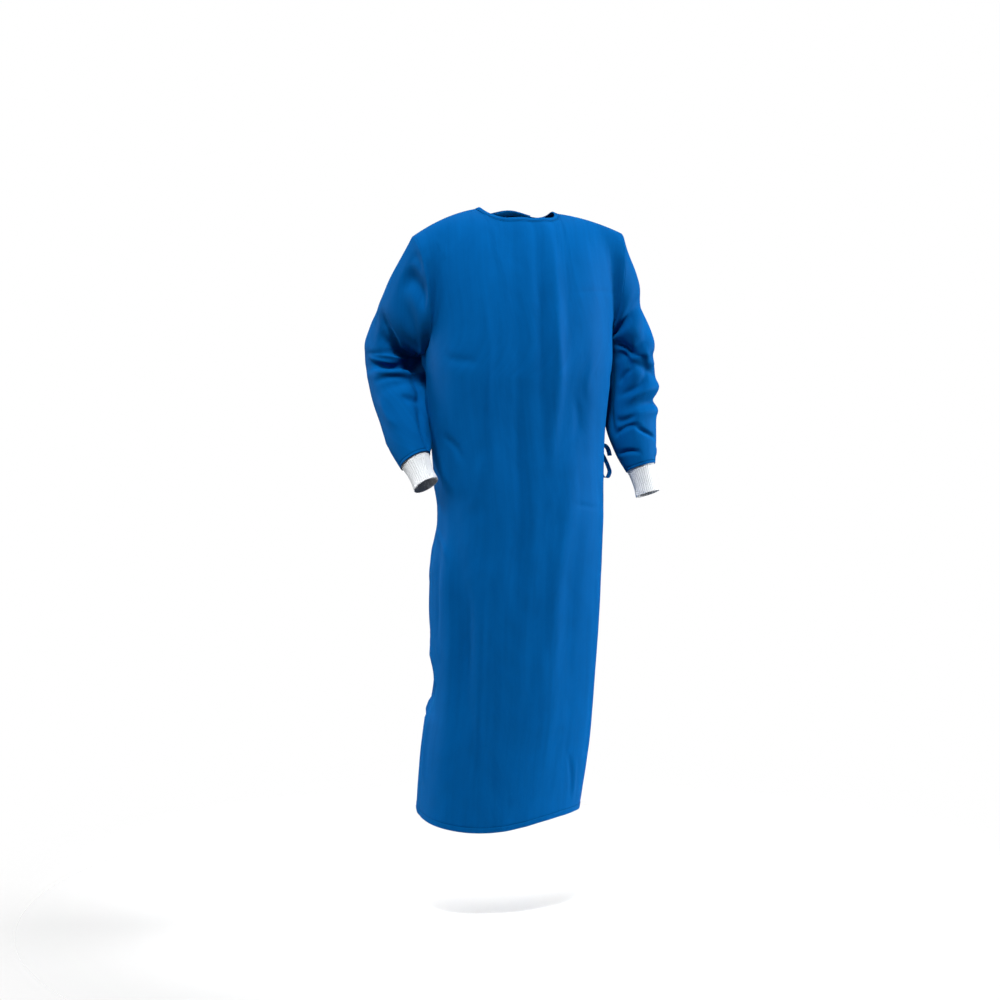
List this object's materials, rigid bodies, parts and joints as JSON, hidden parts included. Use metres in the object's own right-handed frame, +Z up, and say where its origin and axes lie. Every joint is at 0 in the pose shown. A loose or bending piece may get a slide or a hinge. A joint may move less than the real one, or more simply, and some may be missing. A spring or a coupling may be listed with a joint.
{
  "type": "surgical gown",
  "caption": "Worn long-sleeved surgical gown, empty and open at neck, cuffs and hem, lapped at the back and tied with a bow at the left side of the waist.",
  "frame": {"origin": "middle of the neck opening, level with the tops of the shoulder seams", "axes": "+Z up along the hanging gown, front towards -Y, the gown's own left towards +X"},
  "size_m": [0.628, 0.3271, 1.3198],
  "materials": {
    "gown_cloth": "royal blue non-woven, matt with a soft sheen",
    "neck_trim": "folded royal blue non-woven",
    "tie_tape": "royal blue non-woven tape",
    "cuff_knit": "white rib knit"
  },
  "bodies": {
    "root": {"front": "gown_cloth", "back_left": "gown_cloth", "back_right": "gown_cloth", "sleeve_left": "gown_cloth", "sleeve_right": "gown_cloth", "neck_binding": "neck_trim", "neck_tab": "neck_trim", "cuff_left": "cuff_knit", "cuff_right": "cuff_knit", "tie_band": "tie_tape", "tie_knot": "tie_tape", "tie_loop_front": "tie_tape", "tie_loop_back": "tie_tape", "tie_end_short": "tie_tape", "tie_end_long": "tie_tape"}
  },
  "joints": []
}
